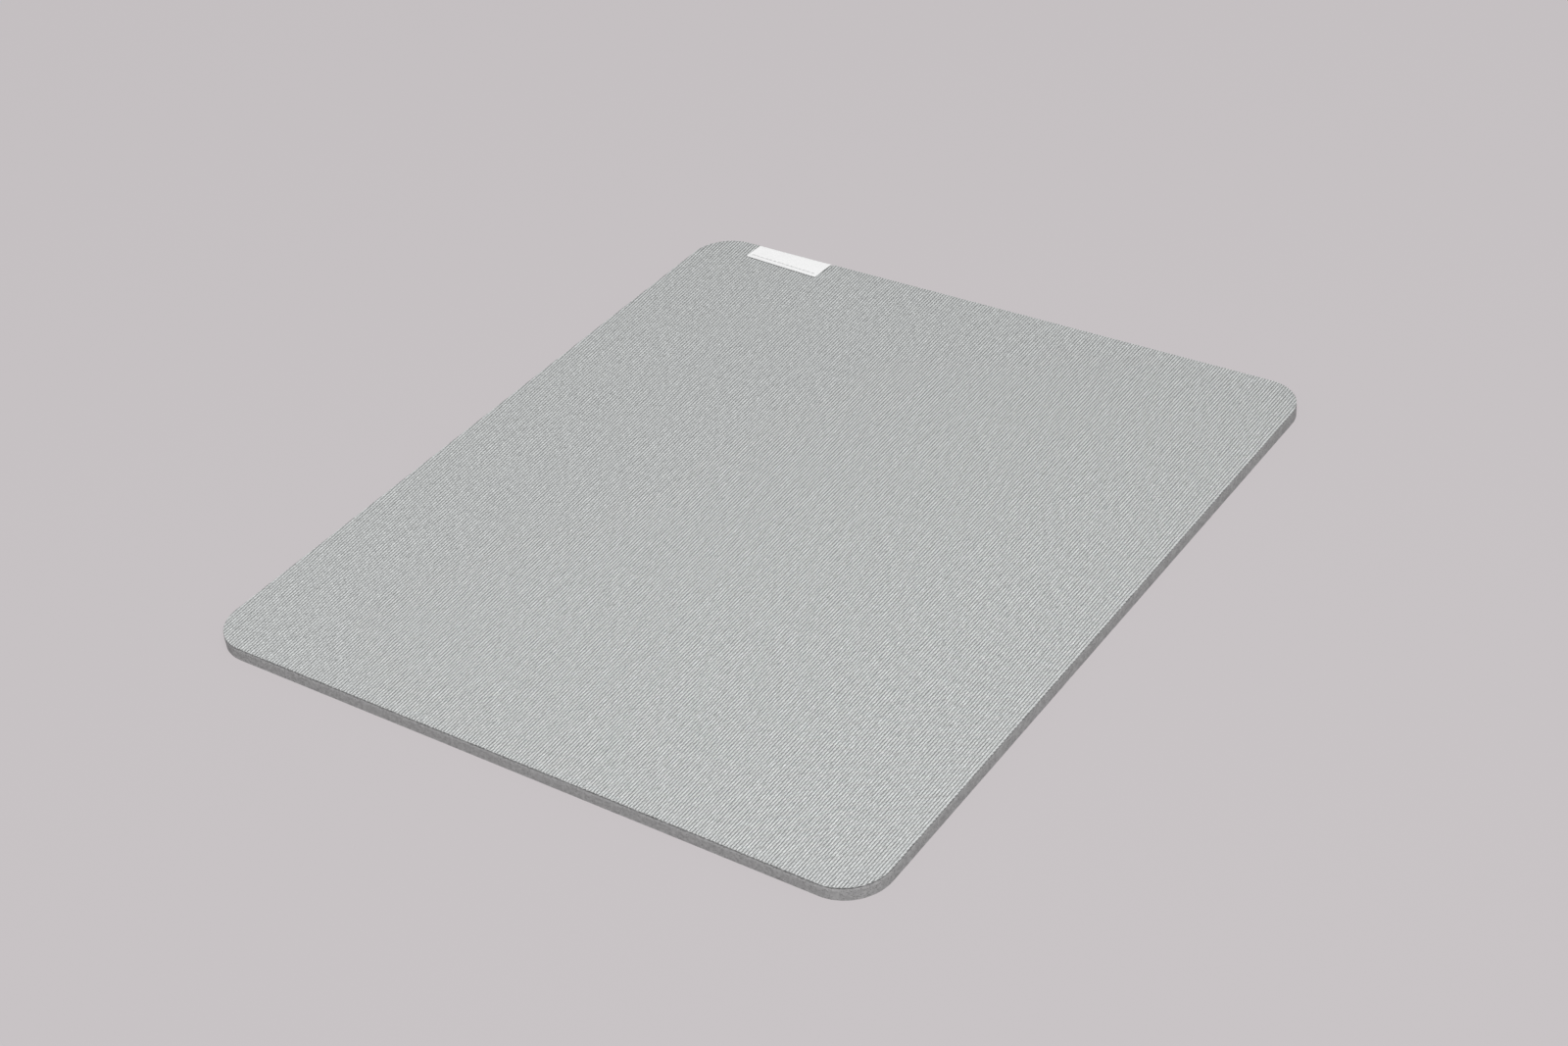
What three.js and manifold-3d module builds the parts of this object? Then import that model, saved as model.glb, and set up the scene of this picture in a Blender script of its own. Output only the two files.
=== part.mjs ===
// A soft mouse pad: ribbed cloth bonded to a foam rubber base, with a folded label sewn over one edge.
// Millimetres, +Z up. The origin lies under the middle of the pad, on the desk.
// +X runs to the short edge that carries the label, and +Y runs away from the user.
import * as THREE from "three";
import { mergeVertices } from "three/addons/utils/BufferGeometryUtils.js";
import Module from "manifold-3d";

// Pad
const padLength = 285; // along X
const padWidth = 250; // along Y
const cornerRadius = 15;
const baseThickness = 4.5;
const filmThickness = 0.1;
const filmSetback = 0.2; // from the cut edge to the edge of the film
const clothThickness = 0.4;

// Label, one ribbon folded round the edge
const labelLength = 32.5; // along the edge
const labelDepth = 10.4; // from the edge to the end of each flap
const labelThickness = 0.4;
const labelToCorner = 6.4; // from the end of the straight edge to the label
const labelClearance = 0.1; // between the ribbon and the pad inside it

// Seam
const stitchLength = 2;
const stitchInset = 1.8; // from the end of a flap to the row of stitches
const seamMargin = 1; // from the side of the label to the first hole, at least
const threadDiameter = 0.36;
const legWidening = 0.12; // two strands share a hole, so a leg is this much thicker than one strand
const stitchArch = 0.2; // how far a stitch on the upper side bows up
const threadClearance = 0.15; // round a leg in its hole, and between a stitch and the ribbon
const knotHeight = 0.08; // how far a leg stands past the stitches that it joins
const lockGap = 0.3; // between the two threads' loops, halfway through the base
const deskClearance = 0.1; // from the lower thread to the desk

// Facets
const cornerFacets = 12; // in a quarter turn
const foldFacets = 4; // in a quarter turn
const threadSides = 6;
const stitchSteps = 3;
const cutOverrun = 1; // how far a cut runs past the face that it opens

// Levels, from the desk up
const baseTop = baseThickness;
const filmTop = baseTop + filmThickness;
const padTop = filmTop + clothThickness;
const upperFlapBottom = padTop + labelClearance;
const upperFlapTop = upperFlapBottom + labelThickness;

// The lower flap and its stitches lie in a pocket, so that neither reaches the desk.
const threadRadius = threadDiameter / 2;
const lowerFlapBottom = deskClearance + knotHeight + threadDiameter + threadClearance;
const lowerFlapTop = lowerFlapBottom + labelThickness;
const pocketTop = lowerFlapTop + labelClearance;
const upperStitchLevel = upperFlapTop + threadClearance + threadRadius;
const lowerStitchLevel = lowerFlapBottom - threadClearance - threadRadius;
const lockLevel = (pocketTop + baseTop) / 2;

// The label's place on the +X edge, where the pad is squeezed in by the ribbon's thickness
const edgeX = padLength / 2;
const notchX = edgeX - labelThickness - labelClearance;
const flapEndX = edgeX - labelDepth;
const labelHighY = padWidth / 2 - cornerRadius - labelToCorner;
const labelLowY = labelHighY - labelLength;
const seamX = flapEndX + stitchInset;
const stitchCount = Math.floor((labelLength - 2 * seamMargin) / stitchLength);
const firstHoleY = (labelHighY + labelLowY - stitchCount * stitchLength) / 2;
const holeYs = Array.from({ length: stitchCount + 1 }, (_, i) => firstHoleY + i * stitchLength);
const legRadius = (threadDiameter + legWidening) / 2;
const holeRadius = legRadius + threadClearance;

const wasm = await Module();
wasm.setup();

function toSolid(geometry) {
  const bare = geometry.clone();
  bare.deleteAttribute("normal");
  bare.deleteAttribute("uv");
  const merged = mergeVertices(bare);
  return new wasm.Manifold(
    new wasm.Mesh({
      numProp: 3,
      vertProperties: merged.attributes.position.array,
      triVerts: new Uint32Array(merged.index.array),
    }),
  );
}

function toGeometry(solid) {
  const mesh = solid.getMesh();
  const geometry = new THREE.BufferGeometry();
  geometry.setAttribute("position", new THREE.BufferAttribute(mesh.vertProperties, 3));
  geometry.setIndex(new THREE.BufferAttribute(mesh.triVerts, 1));
  geometry.computeVertexNormals();
  return geometry;
}

function cut(geometry, tools) {
  return toGeometry(tools.reduce((solid, tool) => solid.subtract(toSolid(tool)), toSolid(geometry)));
}

function join(geometries) {
  return toGeometry(geometries.map(toSolid).reduce((joined, solid) => joined.add(solid)));
}

// The pad's cut outline, or one set back inside it, with the notch that the label takes up
function padOutline(setback) {
  const x = edgeX - setback;
  const y = padWidth / 2 - setback;
  const radius = cornerRadius - setback;
  const innerX = notchX - setback;
  const outline = new THREE.Shape();
  outline.moveTo(x, -y + radius);
  outline.lineTo(x, labelLowY - labelClearance - setback);
  outline.lineTo(innerX, labelLowY - labelClearance - setback);
  outline.lineTo(innerX, labelHighY + labelClearance + setback);
  outline.lineTo(x, labelHighY + labelClearance + setback);
  outline.lineTo(x, y - radius);
  outline.absarc(x - radius, y - radius, radius, 0, Math.PI / 2);
  outline.lineTo(-x + radius, y);
  outline.absarc(-x + radius, y - radius, radius, Math.PI / 2, Math.PI);
  outline.lineTo(-x, -y + radius);
  outline.absarc(-x + radius, -y + radius, radius, Math.PI, Math.PI * 1.5);
  outline.lineTo(x - radius, -y);
  outline.absarc(x - radius, -y + radius, radius, Math.PI * 1.5, Math.PI * 2);
  return outline;
}

function layer(bottom, thickness, setback) {
  const geometry = new THREE.ExtrudeGeometry(padOutline(setback), {
    depth: thickness,
    bevelEnabled: false,
    curveSegments: cornerFacets / 2,
  });
  return geometry.translate(0, 0, bottom);
}

// A round upright rod at the seam, for a thread's leg or for the hole that it passes through
function seamRod(y, radius, bottom, top) {
  const rod = new THREE.CylinderGeometry(radius, radius, top - bottom, threadSides);
  rod.rotateX(Math.PI / 2);
  return rod.translate(seamX, y, (bottom + top) / 2);
}

// The needle's holes, through every layer and past both faces
const holes = holeYs.map((y) => seamRod(y, holeRadius, -cutOverrun, upperFlapTop + cutOverrun));

// The hollow in the underside that takes the lower flap, open at the edge
function labelPocket() {
  const innerX = flapEndX - labelClearance;
  const length = edgeX + cutOverrun - innerX;
  const width = labelLength + 2 * labelClearance;
  const height = pocketTop + cutOverrun;
  const pocket = new THREE.BoxGeometry(length, width, height);
  return pocket.translate(innerX + length / 2, (labelHighY + labelLowY) / 2, pocketTop - height / 2);
}

// The ribbon's section in X and Z: two flaps and the fold, rounded outside by the ribbon's own thickness
function foldedRibbon() {
  const innerX = edgeX - labelThickness;
  const section = new THREE.Shape();
  section.moveTo(flapEndX, lowerFlapBottom);
  section.lineTo(innerX, lowerFlapBottom);
  section.absarc(innerX, lowerFlapTop, labelThickness, -Math.PI / 2, 0);
  section.lineTo(edgeX, upperFlapBottom);
  section.absarc(innerX, upperFlapBottom, labelThickness, 0, Math.PI / 2);
  section.lineTo(flapEndX, upperFlapTop);
  section.lineTo(flapEndX, upperFlapBottom);
  section.lineTo(innerX, upperFlapBottom);
  section.lineTo(innerX, lowerFlapTop);
  section.lineTo(flapEndX, lowerFlapTop);
  const ribbon = new THREE.ExtrudeGeometry(section, {
    depth: labelLength,
    bevelEnabled: false,
    curveSegments: foldFacets / 2,
  });
  ribbon.rotateX(Math.PI / 2);
  return ribbon.translate(0, labelHighY, 0);
}

// One stitch from hole to hole, bowed up by arch, which is half as high as the curve's middle point
function stitch(y, level, arch) {
  const start = new THREE.Vector3(seamX, y, level);
  const end = new THREE.Vector3(seamX, y + stitchLength, level);
  const middle = new THREE.Vector3(seamX, y + stitchLength / 2, level + 2 * arch);
  const section = new THREE.Shape();
  section.absarc(0, 0, threadRadius, 0, Math.PI * 2);
  return new THREE.ExtrudeGeometry(section, {
    steps: stitchSteps,
    extrudePath: new THREE.QuadraticBezierCurve3(start, middle, end),
    curveSegments: threadSides / 2,
  });
}

// A thread's stitches on one face, and its loops, which reach halfway into the base
function thread(level, arch, legBottom, legTop) {
  const legs = holeYs.map((y) => seamRod(y, legRadius, legBottom, legTop));
  const stitches = holeYs.slice(0, -1).map((y) => stitch(y, level, arch));
  return join([...legs, ...stitches]);
}

function needleThread() {
  const top = upperStitchLevel + threadRadius + knotHeight;
  return thread(upperStitchLevel, stitchArch, lockLevel + lockGap / 2, top);
}

function bobbinThread() {
  const bottom = lowerStitchLevel - threadRadius - knotHeight;
  return thread(lowerStitchLevel, 0, bottom, lockLevel - lockGap / 2);
}

const cloth = new THREE.MeshStandardMaterial({ color: 0xb6b9b8, roughness: 0.95, metalness: 0 });
const adhesive = new THREE.MeshStandardMaterial({ color: 0x70706e, roughness: 0.6, metalness: 0 });
const foamRubber = new THREE.MeshStandardMaterial({ color: 0x8b8b8d, roughness: 0.9, metalness: 0 });
const ribbonWeave = new THREE.MeshStandardMaterial({ color: 0xf1f1f1, roughness: 0.7, metalness: 0 });
const upperYarn = new THREE.MeshStandardMaterial({ color: 0xe6e6e6, roughness: 0.6, metalness: 0 });
const lowerYarn = new THREE.MeshStandardMaterial({ color: 0xdadada, roughness: 0.6, metalness: 0 });

const mousePad = new THREE.Group();

function place(name, geometry, material) {
  const mesh = new THREE.Mesh(geometry, material);
  mesh.name = name;
  mousePad.add(mesh);
}

place("rubber_base", cut(layer(0, baseThickness, 0), [labelPocket(), ...holes]), foamRubber);
place("bond_film", cut(layer(baseTop, filmThickness, filmSetback), holes), adhesive);
place("top_cloth", cut(layer(filmTop, clothThickness, 0), holes), cloth);
place("edge_label", cut(foldedRibbon(), holes), ribbonWeave);
place("needle_thread", needleThread(), upperYarn);
place("bobbin_thread", bobbinThread(), lowerYarn);

export default mousePad;
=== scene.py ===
"""The looks of a soft mouse pad: ribbed cloth on foam rubber, with a bare ribbon sewn over one edge."""

import math

import bmesh
import bpy
from mathutils import Matrix, Quaternion, Vector, noise


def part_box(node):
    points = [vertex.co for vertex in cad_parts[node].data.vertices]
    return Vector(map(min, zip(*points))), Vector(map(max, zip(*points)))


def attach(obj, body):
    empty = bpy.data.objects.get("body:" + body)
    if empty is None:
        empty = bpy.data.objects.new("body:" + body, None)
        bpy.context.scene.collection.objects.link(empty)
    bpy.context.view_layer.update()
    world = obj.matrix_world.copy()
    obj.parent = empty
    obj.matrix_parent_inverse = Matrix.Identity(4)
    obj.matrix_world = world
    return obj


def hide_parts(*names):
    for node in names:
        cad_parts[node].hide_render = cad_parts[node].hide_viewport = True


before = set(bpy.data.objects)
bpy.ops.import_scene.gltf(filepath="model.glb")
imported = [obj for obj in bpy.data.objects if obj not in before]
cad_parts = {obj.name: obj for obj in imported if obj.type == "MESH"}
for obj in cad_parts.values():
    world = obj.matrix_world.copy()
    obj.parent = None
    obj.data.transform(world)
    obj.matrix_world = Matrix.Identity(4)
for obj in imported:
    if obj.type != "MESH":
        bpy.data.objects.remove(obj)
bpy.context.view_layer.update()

MM = 0.001

# Angle between faces from which an edge of a piece is shaded as a sharp one
SHARP_ANGLE = math.radians(42)

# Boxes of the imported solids
base_low, base_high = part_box("rubber_base")
film_low, film_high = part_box("bond_film")
cloth_low, cloth_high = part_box("top_cloth")
label_low, label_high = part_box("edge_label")
needle_low, needle_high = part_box("needle_thread")

# Outline of the pad
HALF_LENGTH = base_high.x
HALF_WIDTH = base_high.y
CORNER_RADIUS = 15 * MM
CORNER_STEPS = 24
EDGE_STEP = 1.2 * MM
LONGEST_EDGE = 1.5 * EDGE_STEP

# Ribbon label, and the room that it takes in the pad
RIBBON_THICKNESS = 0.4 * MM
RIBBON_CLEARANCE = 0.1 * MM
RIBBON_FOLD_RADIUS = 1.3 * MM
RIBBON_SLANT = math.tan(math.radians(3.2))
RIBBON_STEPS = 120
RIBBON_COLUMNS = 91
NOTCH_DEPTH = 1.1 * MM
NOTCH_RAMP = 0.9 * MM
NOTCH_X = HALF_LENGTH - NOTCH_DEPTH
NOTCH_LOW_Y = label_low.y - RIBBON_CLEARANCE
NOTCH_HIGH_Y = label_high.y + RIBBON_CLEARANCE
POCKET_X = label_low.x - RIBBON_CLEARANCE
POCKET_TOP = label_low.z + RIBBON_THICKNESS + RIBBON_CLEARANCE
LABEL_MIDDLE_Y = (label_low.y + label_high.y) / 2
LABEL_HALF_WIDTH = (label_high.y - label_low.y) / 2

# How the ribbon's flaps are drawn in at the seam, and lifted and waved elsewhere
SEAM_DRAW_IN = 0.09 * MM
SEAM_DRAW_REACH = 0.5 * MM
DRAW_IN_BETWEEN_HOLES = 0.4
FLAP_END_LIFT = 0.08 * MM
FLAP_FOLD_LIFT = 0.06 * MM
FLAP_SIDE_LIFT = 0.08 * MM
FLAP_SIDE_POWER = 8
FLAP_WAVE_LENGTH = 5 * MM
FLAP_END_WAVE = 0.5

# Seam that holds the label, sewn with threads of two twisted strands
SEAM_X = (needle_low.x + needle_high.x) / 2
STITCH_LENGTH = 2 * MM
STITCH_COUNT = int((needle_high.y - needle_low.y) / STITCH_LENGTH)
STITCH_STEPS = 20
STITCH_FULLNESS = 0.45
FIRST_HOLE_Y = LABEL_MIDDLE_Y - STITCH_COUNT * STITCH_LENGTH / 2
STRAND_RADIUS = 0.11 * MM
STRAND_OFFSET = 0.09 * MM
STRAND_TURN = 1.1 * MM
THREAD_RADIUS = STRAND_RADIUS + STRAND_OFFSET

# Cloth ribs, which run along X and fan out a little from the edge at -Y
RIB_RATE = 982.3
RIB_FAN = -290.0
RIB_WIDENING = -234.5
RIB_PITCH = 1.068 * MM
RIB_DEPTH = 0.12 * MM
RIB_FULLNESS = 0.7
MEAN_DIP = 0.28
MESH_ROWS_PER_RIB = 6
CLOTH_COLUMNS = 32

# Cloth rim, and where the ribs end at it
CLOTH_ROUNDING = 0.1 * MM
RIM_SLOPE = 0.8
RIM_WEAVE_SHARE = 0.3
LAST_RIB_SETBACK = 0.02
RIB_END_TRIES = 40
CORNER_TRIES = 400
OUTSIDE_X = 1.1 * HALF_LENGTH

# Tile of cloth after which its weave repeats
RIBS_PER_TILE = 60
STITCHES_PER_STREAK = 3
STREAKS_PER_TILE = 14
STITCHES_PER_TILE = STITCHES_PER_STREAK * STREAKS_PER_TILE
FLECKS_PER_RIB = 5
FLECK_ROWS_PER_TILE = FLECKS_PER_RIB * RIBS_PER_TILE
WEAVE_TILE = RIBS_PER_TILE * RIB_PITCH
WEAVE_MAP = "OFBake"

# Kinds of chance in the weave
STITCH_TONE = 0.0
STREAK_TONE = 1.0
ROW_SHIFT = 2.0

# Gaps between the cloth's stitches, darkened with painted shade, in shares of a row across and of a
# stitch along
GAP_START = 0.09
GAP_START_SPREAD = 0.08
GAP_DROP = 0.25
GAP_DROP_POWER = 0.7
GAP_CORE = 0.04
GAP_REACH = 0.26
GAP_FADED_IN = 0.08
GAP_FADES_OUT = 0.88
ROW_SHIFT_REACH = 0.5

# How dark the painted shade in the gaps is: everywhere at least, in the darkest streaks more, and more
# between their ends
GAP_SHADE_LEAST = 0.46
GAP_SHADE_BY_STREAK = 0.34
GAP_SHADE_BETWEEN_ENDS = 0.2

# Flecks of the cloth's yarn
FLECK_SLANT = 0.4
FLECK_TONE_SHARE = 0.75
FLECK_LOFT_SHARE = 0.2
CLOTH_LOFT = 0.2 * MM

# Weave of the ribbon, which repeats only past its own size
RIBBON_RIB_PITCH = 0.34 * MM
RIBBON_STITCH_LENGTH = 0.5 * MM
RIBBON_RIBS = 97
RIBBON_STITCHES = 89
# Share of the ribbon's tone that is chance; the rest is painted shade, paler on the weave's raised
# threads and darker in its dips
RIBBON_CHANCE_SHARE = 0.4
RIBBON_LOFT = 0.05 * MM

# Fibres of the threads
FIBRES_PER_METRE = 6000.0
FIBRE_LOFT = 0.03 * MM

# Grain of the foam and of the film
FOAM_CELLS_PER_METRE = 1700.0
FILM_CELLS_PER_METRE = 900.0
PORE_CORE = 0.12
PORE_REACH = 0.42
MOTTLE_SCALE = 0.45
MOTTLE_DETAIL = 3.0
MOTTLE_LOW = 0.25
MOTTLE_HIGH = 0.75
MOTTLE_LOFT_SHARE = 0.4
FOAM_LOFT = 0.1 * MM

# Darkest and palest grey of each finish, and other greys
CLOTH_GREYS = (0.27, 0.835)
# Painted shade in the gaps between the cloth's stitches
CLOTH_GAP_SHADE_GREY = 0.12
CLOTH_TINT = (0.975, 1.0, 0.995)
FOAM_GREYS = (0.288, 0.395)
# Painted shade in the foam's open pores
FOAM_PORE_SHADE_GREY = 0.215
FILM_GREYS = (0.07, 0.12)
RIBBON_GREYS = (0.87, 0.95)
UPPER_THREAD_GREYS = (0.6, 0.82)
LOWER_THREAD_GREYS = (0.5, 0.72)

# Foam base
FOAM_CHAMFER = 0.2 * MM
FOAM_DRAW_IN = 0.25 * MM
FOAM_SHOULDER = 1.6 * FOAM_DRAW_IN
FOAM_SIDE_SHARES = (0.33, 0.67, 1.0)
FOAM_WOBBLE = 0.05 * MM
FOAM_WOBBLE_LENGTH = 1.7 * MM
FOAM_BORDER = 1 * MM

# Studs under the base, cut from a field that covers the pad when it is turned
STUD_FIELD = 3 * HALF_LENGTH
STUD_HEIGHT = 0.25 * MM
STUD_SINK = 0.05 * MM
STUD_PITCH = 3.2 * MM
STUD_ROOT_SHARE = 0.8
STUD_TIP_SHARE = 0.75
STUD_TIP_NORMAL = -0.5
STUD_MARGIN = 3.5 * MM

# Camera, at the photograph's viewing angle
CAMERA_AIM = Vector((-5.825, -6.776, 5.0)) * MM
CAMERA_DISTANCE = 856.607 * MM
CAMERA_AZIMUTH = math.radians(37.452)
CAMERA_ELEVATION = math.radians(35.369)
CAMERA_ROLL = math.radians(-5.882)
CAMERA_LENS = 60.02

# Studio
FLOOR_COLOUR = (0.565, 0.534, 0.546, 1.0)
FLOOR_GLOW = 0.9
FLOOR_HALF_SIZE = 5.0
SKY_STRENGTH = 0.5
KEY_PLACE = Vector((-400.0, -400.0, 1000.0)) * MM
KEY_SIZE = 600 * MM
KEY_POWER = 10.4

# Places of a Mix node's sockets for colours, which share their names with its other sockets
MIX_SHARE = 0
MIX_FIRST = 6
MIX_SECOND = 7
MIX_RESULT = 2


# Node helpers


def plug(tree, socket, value):
    """Links an output to a socket, or sets a plain value on it."""
    if isinstance(value, bpy.types.NodeSocket):
        tree.links.new(value, socket)
    else:
        socket.default_value = value


def maths(tree, operation, *values):
    node = tree.nodes.new("ShaderNodeMath")
    node.operation = operation
    for socket, value in zip(node.inputs, values):
        plug(tree, socket, value)
    return node.outputs[0]


def ramp(tree, value, low, high, to_low=0.0, to_high=1.0):
    """value taken smoothly from low..high to to_low..to_high."""
    node = tree.nodes.new("ShaderNodeMapRange")
    node.interpolation_type = "SMOOTHSTEP"
    plug(tree, node.inputs["Value"], value)
    node.inputs["From Min"].default_value = low
    node.inputs["From Max"].default_value = high
    node.inputs["To Min"].default_value = to_low
    node.inputs["To Max"].default_value = to_high
    return node.outputs["Result"]


def blend(tree, share, first, second):
    """A colour between two colours."""
    node = tree.nodes.new("ShaderNodeMix")
    node.data_type = "RGBA"
    plug(tree, node.inputs[MIX_SHARE], share)
    plug(tree, node.inputs[MIX_FIRST], first)
    plug(tree, node.inputs[MIX_SECOND], second)
    return node.outputs[MIX_RESULT]


def grey(value, tint=(1.0, 1.0, 1.0)):
    """A grey, or a tint that is darkened to it."""
    return (value * tint[0], value * tint[1], value * tint[2], 1.0)


def shade(tree, share, greys, tint=(1.0, 1.0, 1.0)):
    """A grey between the darkest and the palest of a finish."""
    darkest, palest = greys
    return blend(tree, share, grey(darkest, tint), grey(palest, tint))


def noise_value(tree, vector, scale, detail=2.0):
    node = tree.nodes.new("ShaderNodeTexNoise")
    plug(tree, node.inputs["Vector"], vector)
    plug(tree, node.inputs["Scale"], scale)
    node.inputs["Detail"].default_value = detail
    return node.outputs["Fac"]


def chance(tree, row, step, kind):
    """A value from 0 to 1 that is different for each set of three whole numbers."""
    place = tree.nodes.new("ShaderNodeCombineXYZ")
    for socket, number in zip(place.inputs, (row, step, kind)):
        plug(tree, socket, number)
    node = tree.nodes.new("ShaderNodeTexWhiteNoise")
    plug(tree, node.inputs["Vector"], place.outputs["Vector"])
    return node.outputs["Value"]


def even_chance(tree, row, rows, along, count, kind):
    """A value from 0 to 1 for each whole step along a row, which evens out over the rows.

    A step's own chance counts up, and that of the step beside it in the next row counts down as much.
    It repeats after that many rows and steps, and each kind has chances of its own.
    """
    step = maths(tree, "FLOORED_MODULO", maths(tree, "FLOOR", along), count)
    next_row = maths(tree, "FLOORED_MODULO", maths(tree, "ADD", row, 1.0), rows)
    raised = maths(tree, "MULTIPLY_ADD", chance(tree, row, step, kind), 0.5, 0.5)
    return maths(tree, "MULTIPLY_ADD", chance(tree, next_row, step, kind), -0.5, raised)


def object_place(tree):
    return tree.nodes.new("ShaderNodeTexCoord").outputs["Object"]


def split(tree, vector):
    node = tree.nodes.new("ShaderNodeSeparateXYZ")
    plug(tree, node.inputs["Vector"], vector)
    return node.outputs


def bump(tree, height, distance):
    node = tree.nodes.new("ShaderNodeBump")
    node.inputs["Distance"].default_value = distance
    plug(tree, node.inputs["Height"], height)
    return node.outputs["Normal"]


def new_material(name, roughness, specular, sheen=0.0):
    """A material with its even values set, and its node tree and shader."""
    material = bpy.data.materials.new(name)
    material.use_nodes = True
    shader = material.node_tree.nodes["Principled BSDF"]
    shader.inputs["Roughness"].default_value = roughness
    shader.inputs["Specular IOR Level"].default_value = specular
    shader.inputs["Sheen Weight"].default_value = sheen
    return material, material.node_tree, shader


def new_group(name, inputs, outputs):
    """An empty shader node group and its ends. It takes and gives plain values, and may take a Vector."""
    tree = bpy.data.node_groups.new(name, "ShaderNodeTree")
    for label in inputs:
        kind = "NodeSocketVector" if label == "Vector" else "NodeSocketFloat"
        tree.interface.new_socket(name=label, in_out="INPUT", socket_type=kind)
    for label in outputs:
        tree.interface.new_socket(name=label, in_out="OUTPUT", socket_type="NodeSocketFloat")
    return tree, tree.nodes.new("NodeGroupInput").outputs, tree.nodes.new("NodeGroupOutput").inputs


def use_group(tree, group, values):
    node = tree.nodes.new("ShaderNodeGroup")
    node.node_tree = group
    for label, value in values.items():
        plug(tree, node.inputs[label], value)
    return node.outputs


# Effects that the materials are made of


def make_slanted_weave():
    """Ribs of slanted stitches: the height of each rib and stitch, and a chance tone for each stitch."""
    tree, given, result = new_group(
        "slanted_weave",
        ("Rib", "Stitch", "Slant", "Ribs", "Stitches"),
        ("Rib Height", "Stitch Height", "Tone"),
    )
    rib = maths(tree, "FLOORED_MODULO", maths(tree, "FLOOR", given["Rib"]), given["Ribs"])
    across = maths(tree, "SUBTRACT", maths(tree, "FRACT", given["Rib"]), 0.5)
    lean = maths(tree, "MULTIPLY_ADD", across, given["Slant"], chance(tree, rib, 0.0, ROW_SHIFT))
    along = maths(tree, "ADD", given["Stitch"], lean)
    within = maths(tree, "SUBTRACT", maths(tree, "FRACT", along), 0.5)
    tone = even_chance(tree, rib, given["Ribs"], along, given["Stitches"], STITCH_TONE)
    plug(tree, result["Rib Height"], maths(tree, "COSINE", maths(tree, "MULTIPLY", across, math.pi)))
    plug(tree, result["Stitch Height"], maths(tree, "COSINE", maths(tree, "MULTIPLY", within, math.pi)))
    plug(tree, result["Tone"], tone)
    return tree


def make_knit_rows():
    """Rows of slanted gaps between pale stitches, darkened with painted shade, every second row set off
    by about half a stitch.

    Row and Stitch are places counted in rows and stitches. The pattern repeats after the given Rows and
    Streaks. A streak is a few stitches long, and the painted shade in its gaps is as dark throughout.
    It gives the painted shade in the gaps, how far each stitch bulges, and a chance tone for each stitch.
    """
    tree, given, result = new_group(
        "knit_rows",
        ("Row", "Stitch", "Rows", "Streaks"),
        ("Gap Shade", "Bulge", "Tone"),
    )
    place = maths(tree, "ADD", given["Row"], 0.5)
    row = maths(tree, "FLOORED_MODULO", maths(tree, "FLOOR", place), given["Rows"])
    up = maths(tree, "SUBTRACT", maths(tree, "FRACT", place), 0.5)

    offset = maths(tree, "MULTIPLY", maths(tree, "FLOORED_MODULO", row, 2.0), 0.5)
    shift = chance(tree, row, 0.0, ROW_SHIFT)
    sway = maths(tree, "MULTIPLY_ADD", shift, ROW_SHIFT_REACH, offset)
    along = maths(tree, "ADD", given["Stitch"], sway)
    within = maths(tree, "FRACT", along)

    stitches = maths(tree, "MULTIPLY", given["Streaks"], STITCHES_PER_STREAK)
    tone = even_chance(tree, row, given["Rows"], along, stitches, STITCH_TONE)
    streak_place = maths(tree, "ADD", maths(tree, "DIVIDE", along, STITCHES_PER_STREAK), shift)
    streak = even_chance(tree, row, given["Rows"], streak_place, given["Streaks"], STREAK_TONE)

    start = maths(tree, "MULTIPLY_ADD", tone, GAP_START_SPREAD, GAP_START)
    drop = maths(tree, "MULTIPLY", maths(tree, "POWER", within, GAP_DROP_POWER), GAP_DROP)
    line = maths(tree, "SUBTRACT", start, drop)
    distance = maths(tree, "ABSOLUTE", maths(tree, "SUBTRACT", up, line))
    core = ramp(tree, distance, GAP_CORE, GAP_REACH, to_low=1.0, to_high=0.0)

    faded_in = ramp(tree, within, 0.0, GAP_FADED_IN)
    before_end = ramp(tree, within, GAP_FADES_OUT, 1.0, to_low=1.0, to_high=0.0)
    between_ends = maths(tree, "MULTIPLY", faded_in, before_end)
    by_streak = maths(tree, "MULTIPLY_ADD", streak, GAP_SHADE_BY_STREAK, GAP_SHADE_LEAST)
    gap_shade_strength = maths(tree, "MULTIPLY_ADD", between_ends, GAP_SHADE_BETWEEN_ENDS, by_streak)

    # The gaps are darkened with painted shade, where the cloth dips between its stitches
    plug(tree, result["Gap Shade"], maths(tree, "MULTIPLY", core, gap_shade_strength))
    plug(tree, result["Bulge"], maths(tree, "SINE", maths(tree, "MULTIPLY", distance, math.pi)))
    plug(tree, result["Tone"], tone)
    return tree


def make_cell_grain():
    """The cut cells of foam: open pores, and a soft mottle."""
    tree, given, result = new_group("cell_grain", ("Vector", "Scale"), ("Pores", "Mottle"))
    cells = tree.nodes.new("ShaderNodeTexVoronoi")
    plug(tree, cells.inputs["Vector"], given["Vector"])
    plug(tree, cells.inputs["Scale"], given["Scale"])
    pores = ramp(tree, cells.outputs["Distance"], PORE_CORE, PORE_REACH, to_low=1.0, to_high=0.0)
    mottle_scale = maths(tree, "MULTIPLY", given["Scale"], MOTTLE_SCALE)
    plug(tree, result["Pores"], pores)
    plug(tree, result["Mottle"], noise_value(tree, given["Vector"], mottle_scale, MOTTLE_DETAIL))
    return tree


SLANTED_WEAVE = make_slanted_weave()
KNIT_ROWS = make_knit_rows()
CELL_GRAIN = make_cell_grain()


# Materials


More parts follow.
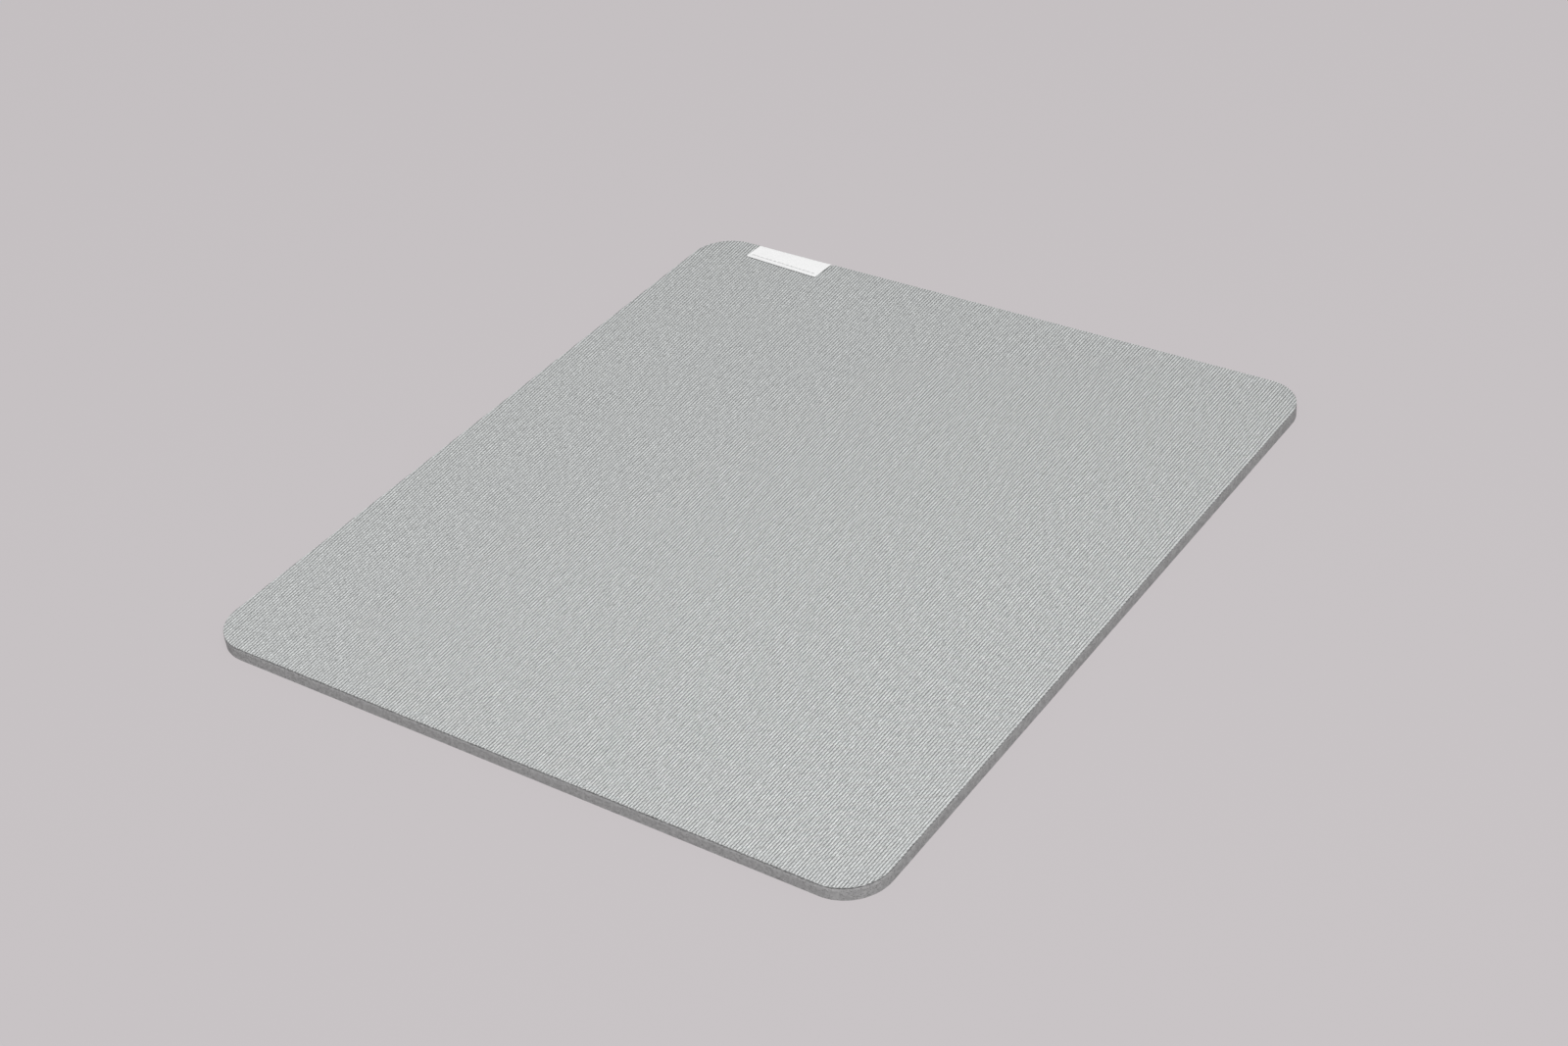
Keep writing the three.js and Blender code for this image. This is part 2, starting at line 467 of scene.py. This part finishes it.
def ribbed_cloth_material():
    material, tree, shader = new_material("ribbed_cloth", roughness=0.92, specular=0.25, sheen=0.1)
    weave = tree.nodes.new("ShaderNodeUVMap")
    weave.uv_map = WEAVE_MAP
    tile = split(tree, weave.outputs["UV"])
    stitch = maths(tree, "MULTIPLY", tile["X"], STITCHES_PER_TILE)
    knit = use_group(tree, KNIT_ROWS, {
        "Row": maths(tree, "MULTIPLY", tile["Y"], RIBS_PER_TILE),
        "Stitch": stitch,
        "Rows": RIBS_PER_TILE,
        "Streaks": STREAKS_PER_TILE,
    })
    flecks = use_group(tree, SLANTED_WEAVE, {
        "Rib": maths(tree, "MULTIPLY", tile["Y"], FLECK_ROWS_PER_TILE),
        "Stitch": stitch,
        "Slant": FLECK_SLANT,
        "Ribs": FLECK_ROWS_PER_TILE,
        "Stitches": STITCHES_PER_TILE,
    })
    stitch_tone = maths(tree, "MULTIPLY", knit["Tone"], 1 - FLECK_TONE_SHARE)
    tone = maths(tree, "MULTIPLY_ADD", flecks["Tone"], FLECK_TONE_SHARE, stitch_tone)
    yarn = shade(tree, tone, CLOTH_GREYS, CLOTH_TINT)
    # The gaps between the stitches take painted shade
    gap_shade = grey(CLOTH_GAP_SHADE_GREY, CLOTH_TINT)
    plug(tree, shader.inputs["Base Color"], blend(tree, knit["Gap Shade"], yarn, gap_shade))
    fibre = maths(tree, "MULTIPLY", flecks["Rib Height"], flecks["Stitch Height"])
    loft = maths(tree, "MULTIPLY_ADD", fibre, FLECK_LOFT_SHARE, knit["Bulge"])
    plug(tree, shader.inputs["Normal"], bump(tree, loft, CLOTH_LOFT))
    return material


def foam_rubber_material():
    material, tree, shader = new_material("foam_rubber", roughness=0.88, specular=0.3)
    grain = use_group(tree, CELL_GRAIN, {"Vector": object_place(tree), "Scale": FOAM_CELLS_PER_METRE})
    skin = shade(tree, ramp(tree, grain["Mottle"], MOTTLE_LOW, MOTTLE_HIGH), FOAM_GREYS)
    # The open pores are darkened with painted shade
    plug(tree, shader.inputs["Base Color"], blend(tree, grain["Pores"], skin, grey(FOAM_PORE_SHADE_GREY)))
    swelling = maths(tree, "MULTIPLY", grain["Mottle"], MOTTLE_LOFT_SHARE)
    height = maths(tree, "SUBTRACT", swelling, grain["Pores"])
    plug(tree, shader.inputs["Normal"], bump(tree, height, FOAM_LOFT))
    return material


def adhesive_film_material():
    material, tree, shader = new_material("adhesive_film", roughness=0.5, specular=0.4)
    grain = use_group(tree, CELL_GRAIN, {"Vector": object_place(tree), "Scale": FILM_CELLS_PER_METRE})
    plug(tree, shader.inputs["Base Color"], shade(tree, grain["Mottle"], FILM_GREYS))
    return material


def woven_ribbon_material():
    material, tree, shader = new_material("woven_ribbon", roughness=0.65, specular=0.35, sheen=0.15)
    place = split(tree, object_place(tree))
    along = maths(tree, "SUBTRACT", place["X"], place["Z"])
    weave = use_group(tree, SLANTED_WEAVE, {
        "Rib": maths(tree, "DIVIDE", place["Y"], RIBBON_RIB_PITCH),
        "Stitch": maths(tree, "DIVIDE", along, RIBBON_STITCH_LENGTH),
        "Slant": 0.0,
        "Ribs": RIBBON_RIBS,
        "Stitches": RIBBON_STITCHES,
    })
    loft = maths(tree, "MULTIPLY", weave["Rib Height"], weave["Stitch Height"])
    # Painted shade: the weave's raised threads are painted paler and its dips darker
    raised = maths(tree, "MULTIPLY", loft, 1 - RIBBON_CHANCE_SHARE)
    tone = maths(tree, "MULTIPLY_ADD", weave["Tone"], RIBBON_CHANCE_SHARE, raised)
    plug(tree, shader.inputs["Base Color"], shade(tree, tone, RIBBON_GREYS))
    plug(tree, shader.inputs["Normal"], bump(tree, loft, RIBBON_LOFT))
    return material


def thread_material(name, greys):
    material, tree, shader = new_material(name, roughness=0.6, specular=0.4, sheen=0.1)
    fibres = noise_value(tree, object_place(tree), FIBRES_PER_METRE)
    plug(tree, shader.inputs["Base Color"], shade(tree, fibres, greys))
    plug(tree, shader.inputs["Normal"], bump(tree, fibres, FIBRE_LOFT))
    return material


# Shaping helpers


def new_piece(name, mesh, material):
    """An object of a finished mesh, smooth apart from its sharp edges, that goes with the pad."""
    mesh.shade_smooth()
    mesh.set_sharp_from_angle(angle=SHARP_ANGLE)
    mesh.materials.clear()
    mesh.materials.append(material)
    piece = bpy.data.objects.new(name, mesh)
    bpy.context.scene.collection.objects.link(piece)
    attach(piece, "root")
    return piece


def mesh_of(name, bm):
    mesh = bpy.data.meshes.new(name)
    bm.to_mesh(mesh)
    bm.free()
    return mesh


def in_label_room(place):
    """True inside the notch and the pocket that the label takes up."""
    slack = RIBBON_CLEARANCE / 2
    if not POCKET_X - slack < place.x < NOTCH_X + slack:
        return False
    return NOTCH_LOW_Y - slack < place.y < NOTCH_HIGH_Y + slack


def past_corner_centres(x, y):
    """How far a place lies outside the rectangle of the corners' centres, along X and along Y."""
    over_x = max(abs(x) - HALF_LENGTH + CORNER_RADIUS, 0.0)
    over_y = max(abs(y) - HALF_WIDTH + CORNER_RADIUS, 0.0)
    return over_x, over_y


def edge_distance(x, y):
    """How far a place near the pad's edge lies inside its outline, the label's notch left out."""
    return CORNER_RADIUS - math.hypot(*past_corner_centres(x, y))


def edge_way(place):
    """The direction straight out of the pad's edge at a place near it, or none in the label's room."""
    if in_label_room(place):
        return Vector()
    over_x, over_y = past_corner_centres(place.x, place.y)
    return Vector((math.copysign(over_x, place.x), math.copysign(over_y, place.y), 0.0)).normalized()


def notch_corners(pocket):
    """The corners of the label's notch from low to high Y, by way of its pocket if there is one."""
    corners = [
        (HALF_LENGTH, NOTCH_LOW_Y - NOTCH_RAMP),
        (NOTCH_X, NOTCH_LOW_Y),
        (NOTCH_X, NOTCH_HIGH_Y),
        (HALF_LENGTH, NOTCH_HIGH_Y + NOTCH_RAMP),
    ]
    if pocket:
        corners[2:2] = [(POCKET_X, NOTCH_LOW_Y), (POCKET_X, NOTCH_HIGH_Y)]
    return corners


def pad_outline(bm, level, setback, pocket):
    """A flat face with the pad's outline, notched for the label, or cut as deep as its pocket."""
    bmesh.ops.create_grid(bm, x_segments=1, y_segments=1, size=1.0)
    bmesh.ops.scale(bm, vec=(HALF_LENGTH, HALF_WIDTH, 1.0), verts=bm.verts)
    bmesh.ops.bevel(
        bm,
        geom=bm.verts[:],
        offset=CORNER_RADIUS,
        offset_type="OFFSET",
        segments=CORNER_STEPS,
        profile=0.5,
        affect="VERTICES",
        material=-1,
    )
    corners = notch_corners(pocket)
    label_edge = max(bm.edges, key=lambda edge: (min(v.co.x for v in edge.verts), edge.calc_length()))
    added = bmesh.ops.bisect_edges(bm, edges=[label_edge], cuts=len(corners))["geom_split"]
    straight = HALF_WIDTH - CORNER_RADIUS - EDGE_STEP
    cuts = {item for item in added if isinstance(item, bmesh.types.BMVert) and abs(item.co.y) < straight}
    for vert, (x, y) in zip(sorted(cuts, key=lambda vert: vert.co.y), corners):
        vert.co.x = x
        vert.co.y = y
    for edge in [edge for edge in bm.edges if edge.calc_length() > LONGEST_EDGE]:
        bmesh.ops.bisect_edges(bm, edges=[edge], cuts=int(edge.calc_length() / EDGE_STEP))
    for vert in bm.verts:
        vert.co -= edge_way(vert.co) * setback
        vert.co.z = level


def open_rim(bm):
    return [edge for edge in bm.edges if edge.is_boundary]


def extrude_rim(bm):
    """Extrudes the open rim in place, and gives its new vertices."""
    made = bmesh.ops.extrude_edge_only(bm, edges=open_rim(bm))["geom"]
    return [item for item in made if isinstance(item, bmesh.types.BMVert)]


def extend_rim(bm, level, outward, wobble=0.0):
    """Extrudes the open rim to a level, moved outward, and unevenly so by wobble."""
    for vert in extrude_rim(bm):
        vert.co.z = level
        uneven = wobble * noise.noise(vert.co / FOAM_WOBBLE_LENGTH)
        vert.co += edge_way(vert.co) * (outward + uneven)


def close_rim(bm):
    bmesh.ops.contextual_create(bm, geom=open_rim(bm))


# Camera, floor and light


def make_camera():
    away = Vector((
        math.cos(CAMERA_ELEVATION) * math.cos(CAMERA_AZIMUTH),
        math.cos(CAMERA_ELEVATION) * math.sin(CAMERA_AZIMUTH),
        -math.sin(CAMERA_ELEVATION),
    ))
    lens = bpy.data.cameras.new("camera")
    lens.lens = CAMERA_LENS
    camera = bpy.data.objects.new("camera", lens)
    camera.location = CAMERA_AIM - away * CAMERA_DISTANCE
    camera.rotation_mode = "QUATERNION"
    camera.rotation_quaternion = away.to_track_quat("-Z", "Y") @ Quaternion((0, 0, 1), CAMERA_ROLL)
    bpy.context.scene.collection.objects.link(camera)
    bpy.context.scene.camera = camera


def make_floor():
    """A plain pale floor, mostly of even brightness, with a faint shadow under the pad."""
    material, _, shader = new_material("floor", roughness=1.0, specular=0.0)
    shader.inputs["Base Color"].default_value = grey(1 - FLOOR_GLOW, FLOOR_COLOUR)
    shader.inputs["Emission Color"].default_value = FLOOR_COLOUR
    shader.inputs["Emission Strength"].default_value = FLOOR_GLOW
    bm = bmesh.new()
    bmesh.ops.create_grid(bm, x_segments=1, y_segments=1, size=FLOOR_HALF_SIZE)
    mesh = mesh_of("floor", bm)
    mesh.materials.append(material)
    floor = bpy.data.objects.new("floor", mesh)
    bpy.context.scene.collection.objects.link(floor)


def make_light():
    """An even white sky, seen by the camera as the far floor, and a soft lamp above the near corner."""
    world = bpy.data.worlds.new("studio")
    world.use_nodes = True
    bpy.context.scene.world = world
    tree = world.node_tree
    sky = tree.nodes["Background"]
    sky.inputs["Strength"].default_value = SKY_STRENGTH
    sky.inputs["Color"].default_value = (1.0, 1.0, 1.0, 1.0)
    backdrop = tree.nodes.new("ShaderNodeBackground")
    backdrop.inputs["Color"].default_value = FLOOR_COLOUR
    backdrop.inputs["Strength"].default_value = FLOOR_GLOW + (1 - FLOOR_GLOW) * SKY_STRENGTH
    path = tree.nodes.new("ShaderNodeLightPath")
    choose = tree.nodes.new("ShaderNodeMixShader")
    tree.links.new(path.outputs["Is Camera Ray"], choose.inputs["Fac"])
    tree.links.new(sky.outputs["Background"], choose.inputs[1])
    tree.links.new(backdrop.outputs["Background"], choose.inputs[2])
    tree.links.new(choose.outputs["Shader"], tree.nodes["World Output"].inputs["Surface"])
    lamp = bpy.data.lights.new("key", "AREA")
    lamp.shape = "DISK"
    lamp.size = KEY_SIZE
    lamp.energy = KEY_POWER
    key = bpy.data.objects.new("key", lamp)
    key.location = KEY_PLACE
    key.rotation_mode = "QUATERNION"
    key.rotation_quaternion = (-KEY_PLACE).to_track_quat("-Z", "Y")
    bpy.context.scene.collection.objects.link(key)
    bpy.context.scene.view_settings.view_transform = "Standard"


# Foam base


def inside_margin(place, margin):
    """True if a place is that far inside the pad's edge and clear of the label's pocket."""
    if edge_distance(place.x, place.y) < margin:
        return False
    beside_label = NOTCH_LOW_Y - margin < place.y < NOTCH_HIGH_Y + margin
    return not (beside_label and place.x > POCKET_X - margin)


def shrink(face, share):
    """Draws a face's corners in towards its middle."""
    middle = face.calc_center_median()
    for vert in face.verts:
        vert.co = middle.lerp(vert.co, share)


def add_studs(bm, level):
    """Diamond studs on the underside, made from a turned grid that is split into its faces."""
    studs = bmesh.new()
    count = int(STUD_FIELD / STUD_PITCH)
    bmesh.ops.create_grid(studs, x_segments=count, y_segments=count, size=count * STUD_PITCH / 2)
    bmesh.ops.rotate(studs, verts=studs.verts, matrix=Matrix.Rotation(math.pi / 4, 3, "Z"))
    outside = [face for face in studs.faces if not inside_margin(face.calc_center_median(), STUD_MARGIN)]
    bmesh.ops.delete(studs, geom=outside, context="FACES")
    bmesh.ops.split_edges(studs, edges=studs.edges)
    for face in studs.faces:
        shrink(face, STUD_ROOT_SHARE)
    bmesh.ops.solidify(studs, geom=studs.faces[:], thickness=STUD_HEIGHT + STUD_SINK)
    for face in studs.faces:
        if face.normal.z < STUD_TIP_NORMAL:
            shrink(face, STUD_TIP_SHARE)
    bmesh.ops.translate(studs, verts=studs.verts, vec=(0.0, 0.0, level + STUD_SINK))
    mesh = mesh_of("studs", studs)
    bm.from_mesh(mesh)
    bpy.data.meshes.remove(mesh)


def make_rubber_base():
    """The foam sheet: drawn in under the cloth, hollowed for the label, with a studded underside."""
    bm = bmesh.new()
    pad_outline(bm, base_low.z, FOAM_CHAMFER, pocket=True)
    hollow = bm.faces[:]
    for inset, rise in ((FOAM_BORDER, 0.0), (STUD_HEIGHT, STUD_HEIGHT)):
        bmesh.ops.inset_region(bm, faces=hollow, thickness=inset, use_boundary=True, use_even_offset=True)
        bmesh.ops.translate(bm, verts=hollow[0].verts, vec=(0.0, 0.0, rise))
    extend_rim(bm, base_low.z + FOAM_CHAMFER, FOAM_CHAMFER, FOAM_WOBBLE)
    extend_rim(bm, POCKET_TOP, 0.0)
    roof = [edge for edge in open_rim(bm) if all(in_label_room(vert.co) for vert in edge.verts)]
    bmesh.ops.contextual_create(bm, geom=roof)
    shoulder = base_high.z - FOAM_SHOULDER
    for share in FOAM_SIDE_SHARES:
        extend_rim(bm, POCKET_TOP + (shoulder - POCKET_TOP) * share, 0.0, FOAM_WOBBLE)
    extend_rim(bm, base_high.z, -FOAM_DRAW_IN)
    close_rim(bm)
    bmesh.ops.recalc_face_normals(bm, faces=bm.faces)
    add_studs(bm, base_low.z + STUD_HEIGHT)
    base = new_piece("foam_base", mesh_of("foam_base", bm), foam_rubber_material())
    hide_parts("rubber_base")


# Adhesive film


def make_bond_film():
    bm = bmesh.new()
    pad_outline(bm, film_low.z, HALF_LENGTH - film_high.x, pocket=False)
    extend_rim(bm, film_high.z, 0.0)
    close_rim(bm)
    bmesh.ops.recalc_face_normals(bm, faces=bm.faces)
    film = new_piece("adhesive_layer", mesh_of("adhesive_layer", bm), adhesive_film_material())
    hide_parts("bond_film")


# Ribbed cloth


def ribs_at(x, y):
    """How many ribs lie between the edge at -Y and a place.

    Their mean number per metre is RIB_RATE at the middle of that edge. It changes by RIB_FAN for each
    metre along X and by RIB_WIDENING for each metre inward.
    """
    inward = y + HALF_WIDTH
    return inward * (RIB_RATE + RIB_FAN * x + RIB_WIDENING * inward)


def rib_line(ribs, x):
    """The Y of a place at a given X if that many ribs lie between the edge at -Y and it."""
    rate = RIB_RATE + RIB_FAN * x
    return 2 * ribs / (rate + math.sqrt(rate**2 + 4 * RIB_WIDENING * ribs)) - HALF_WIDTH


def rib_end(ribs, inner_x, outer_x):
    """The X at which a rib meets the cloth's rounded rim, between an X inside it and one outside it."""
    for _ in range(RIB_END_TRIES):
        middle = (inner_x + outer_x) / 2
        if edge_distance(middle, rib_line(ribs, middle)) >= CLOTH_ROUNDING:
            inner_x = middle
        else:
            outer_x = middle
    return inner_x


def label_reach(y):
    """How far the pad reaches along X at a given Y where the label draws it in, and further elsewhere."""
    clear = max(NOTCH_LOW_Y - y, y - NOTCH_HIGH_Y, 0.0) / NOTCH_RAMP
    return NOTCH_X + NOTCH_DEPTH * clear


def last_rib():
    """The place on the rounded rim's corner at -X and +Y that the most ribs lie below."""
    turns = [math.pi / 2 * (1 + step / CORNER_TRIES) for step in range(CORNER_TRIES + 1)]
    corner_x = CORNER_RADIUS - HALF_LENGTH
    corner_y = HALF_WIDTH - CORNER_RADIUS
    radius = CORNER_RADIUS - CLOTH_ROUNDING
    places = [(corner_x + radius * math.cos(turn), corner_y + radius * math.sin(turn)) for turn in turns]
    return max(places, key=lambda place: ribs_at(*place))


def rib_rows():
    """The rows of the cloth's mesh from the edge at -Y: the ribs below each, and its two ends along X."""
    tip_x, tip_y = last_rib()
    fewest_ribs = ribs_at(-HALF_LENGTH, CLOTH_ROUNDING - HALF_WIDTH)
    most_ribs = ribs_at(tip_x, tip_y) - LAST_RIB_SETBACK
    rows = []
    for row in range(math.ceil(most_ribs * MESH_ROWS_PER_RIB) + 1):
        ribs = min(max(row / MESH_ROWS_PER_RIB, fewest_ribs), most_ribs)
        inner_x = tip_x * ribs / most_ribs
        low = rib_end(ribs, inner_x, -OUTSIDE_X)
        high = rib_end(ribs, inner_x, OUTSIDE_X)
        y = rib_line(ribs, high)
        beside_label = Vector((label_reach(y), y, 0.0))
        beside_label -= edge_way(beside_label) * CLOTH_ROUNDING
        rows.append((ribs, low, min(high, beside_label.x)))
    return rows


def lay_ribs(bm):
    """A grid whose rows follow the ribs. Each rib is a low ridge, which fades out at the long edges."""
    rows = rib_rows()
    last = len(rows) - 1
    bmesh.ops.create_grid(bm, x_segments=CLOTH_COLUMNS, y_segments=last, size=0.5)
    for vert in bm.verts:
        ribs, low, high = rows[round((vert.co.y + 0.5) * last)]
        x = low + (high - low) * (vert.co.x + 0.5)
        y = rib_line(ribs, x)
        relief = min((HALF_WIDTH - CLOTH_ROUNDING - abs(y)) / RIB_PITCH, 1.0)
        groove = 1 - abs(math.sin(math.pi * ribs)) ** RIB_FULLNESS
        dip = relief * groove + (1 - relief) * MEAN_DIP
        vert.co = (x, y, cloth_high.z - RIB_DEPTH * dip)


def round_rim(bm):
    """Rounds the cloth's open rim over, out to the pad's outline."""
    for vert in extrude_rim(bm):
        vert.co += edge_way(vert.co) * CLOTH_ROUNDING
        vert.co.z -= CLOTH_ROUNDING


def map_weave(bm):
    """Maps the weave so that it follows the ribs, and runs along the rim where the cloth is steep."""
    weave_map = bm.loops.layers.uv.new(WEAVE_MAP)
    for face in bm.faces:
        on_rim = abs(face.normal.z) < RIM_SLOPE
        for loop in face.loops:
            place = loop.vert.co
            if on_rim:
                along = place.y if abs(face.normal.x) > abs(face.normal.y) else place.x
                across = RIM_WEAVE_SHARE * (place.z - cloth_low.z)
                loop[weave_map].uv = (along / WEAVE_TILE, across / WEAVE_TILE)
            else:
                loop[weave_map].uv = (place.x / WEAVE_TILE, ribs_at(place.x, place.y) / RIBS_PER_TILE)


def make_top_cloth():
    """The ribbed cloth, with a rim that is rounded over and cut square below."""
    bm = bmesh.new()
    lay_ribs(bm)
    round_rim(bm)
    extend_rim(bm, cloth_low.z, 0.0)
    close_rim(bm)
    bmesh.ops.recalc_face_normals(bm, faces=bm.faces)
    map_weave(bm)
    cloth = new_piece("ribbed_top_cloth", mesh_of("ribbed_top_cloth", bm), ribbed_cloth_material())
    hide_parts("top_cloth")


# Ribbon label


def ribbon_lengths():
    """The lengths of the ribbon's upper flap, fold, edge, fold and lower flap, along its middle."""
    flap = label_high.x - RIBBON_THICKNESS / 2 - RIBBON_FOLD_RADIUS - label_low.x
    fold = RIBBON_FOLD_RADIUS * math.pi / 2
    edge = label_high.z - label_low.z - RIBBON_THICKNESS - 2 * RIBBON_FOLD_RADIUS
    return flap, fold, edge, fold, flap


def ribbon_point(along):
    """A place on the ribbon's middle surface at Y 0, along from its upper end, and the way out of it."""
    flap, fold, edge, _, _ = ribbon_lengths()
    fold_x = label_low.x + flap
    top = label_high.z - RIBBON_THICKNESS / 2
    bottom = label_low.z + RIBBON_THICKNESS / 2
    if along <= flap:
        return Vector((label_low.x + along, 0, top)), Vector((0, 0, 1))
    if along >= flap + fold + edge + fold:
        return Vector((fold_x - (along - flap - fold - edge - fold), 0, bottom)), Vector((0, 0, -1))
    down = along - flap
    if down < fold:
        turn = math.pi / 2 * (1 - down / fold)
        centre_z = top - RIBBON_FOLD_RADIUS
    elif down > fold + edge:
        turn = -math.pi / 2 * (down - fold - edge) / fold
        centre_z = bottom + RIBBON_FOLD_RADIUS
    else:
        turn = 0.0
        centre_z = top - RIBBON_FOLD_RADIUS - (down - fold)
    way = Vector((math.cos(turn), 0, math.sin(turn)))
    return Vector((fold_x, 0, centre_z)) + way * RIBBON_FOLD_RADIUS, way


def ribbon_rise(x, y):
    """How far a flap stands off at a place: drawn in at the stitches, lifted elsewhere, a little wavy."""
    at_seam = math.exp(-(((x - SEAM_X) / SEAM_DRAW_REACH) ** 2))
    at_hole = 0.5 + 0.5 * math.cos(2 * math.pi * (y - FIRST_HOLE_Y) / STITCH_LENGTH)
    past_seam = max(SEAM_X - x, 0.0) / (SEAM_X - label_low.x)
    to_fold = max(x - SEAM_X, 0.0) / (label_high.x - SEAM_X)
    to_side = abs(y - LABEL_MIDDLE_Y) / LABEL_HALF_WIDTH
    wave = noise.noise(Vector((x, y, 0)) / FLAP_WAVE_LENGTH)
    drawn = DRAW_IN_BETWEEN_HOLES + (1 - DRAW_IN_BETWEEN_HOLES) * at_hole
    rise = -SEAM_DRAW_IN * at_seam * drawn
    rise += FLAP_END_LIFT * past_seam**2 * (1 + FLAP_END_WAVE * wave)
    rise += FLAP_FOLD_LIFT * math.sin(math.pi * min(to_fold, 1.0)) * (1 + wave)
    rise += FLAP_SIDE_LIFT * to_side**FLAP_SIDE_POWER
    return rise


def make_edge_label():
    """The bare ribbon, folded round the pad's edge and drawn in along its seam."""
    bm = bmesh.new()
    bmesh.ops.create_grid(bm, x_segments=RIBBON_STEPS, y_segments=RIBBON_COLUMNS, size=0.5)
    flap, fold, edge, _, _ = ribbon_lengths()
    length = sum(ribbon_lengths())
    for vert in bm.verts:
        along = (vert.co.x + 0.5) * length
        across = vert.co.y * 2 * LABEL_HALF_WIDTH
        rise = ribbon_rise(ribbon_point(along)[0].x, LABEL_MIDDLE_Y + across)
        askew = RIBBON_SLANT * min(max(1 - (along - flap) / (fold + edge + fold), 0.0), 1.0)
        place, way = ribbon_point(along + across * askew)
        place.y = LABEL_MIDDLE_Y + across + RIBBON_SLANT * max(flap + fold - along, 0.0)
        vert.co = place + way * abs(way.z) * rise
    bmesh.ops.recalc_face_normals(bm, faces=bm.faces)
    label = new_piece("ribbon_label", mesh_of("ribbon_label", bm), woven_ribbon_material())
    wall = label.modifiers.new("thickness", "SOLIDIFY")
    wall.thickness = RIBBON_THICKNESS
    wall.offset = 0.0
    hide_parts("edge_label")


# Threads


def make_thread(name, on_face, in_hole, slant, material, node):
    """A sewing thread of two twisted strands, which dips into the needle's holes between its stitches."""
    data = bpy.data.curves.new(name, "CURVE")
    data.dimensions = "3D"
    data.bevel_depth = STRAND_RADIUS
    data.bevel_resolution = 1
    data.use_fill_caps = True
    steps = STITCH_COUNT * STITCH_STEPS
    for strand in (0.0, math.pi):
        spline = data.splines.new("POLY")
        spline.points.add(steps)
        for step, point in enumerate(spline.points):
            share = abs(math.sin(math.pi * step / STITCH_STEPS)) ** STITCH_FULLNESS
            y = FIRST_HOLE_Y + step * STITCH_LENGTH / STITCH_STEPS
            z = in_hole + (on_face - in_hole) * share
            turn = 2 * math.pi * (y - FIRST_HOLE_Y) / STRAND_TURN + strand
            x = SEAM_X + slant * (y - LABEL_MIDDLE_Y) + STRAND_OFFSET * math.cos(turn)
            y += slant * (label_high.x - SEAM_X)
            point.co = (x, y, z + STRAND_OFFSET * math.sin(turn), 1.0)
    curve = bpy.data.objects.new(name, data)
    mesh = bpy.data.meshes.new_from_object(curve)
    bpy.data.objects.remove(curve)
    thread = new_piece(name, mesh, material)
    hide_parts(node)


make_camera()
make_floor()
make_light()
make_rubber_base()
make_bond_film()
make_top_cloth()
make_edge_label()
make_thread(
    "upper_seam_thread",
    on_face=label_high.z + THREAD_RADIUS,
    in_hole=label_high.z - RIBBON_THICKNESS,
    slant=RIBBON_SLANT,
    material=thread_material("upper_thread", UPPER_THREAD_GREYS),
    node="needle_thread",
)
make_thread(
    "lower_seam_thread",
    on_face=label_low.z - THREAD_RADIUS,
    in_hole=label_low.z + RIBBON_THICKNESS,
    slant=0.0,
    material=thread_material("lower_thread", LOWER_THREAD_GREYS),
    node="bobbin_thread",
)
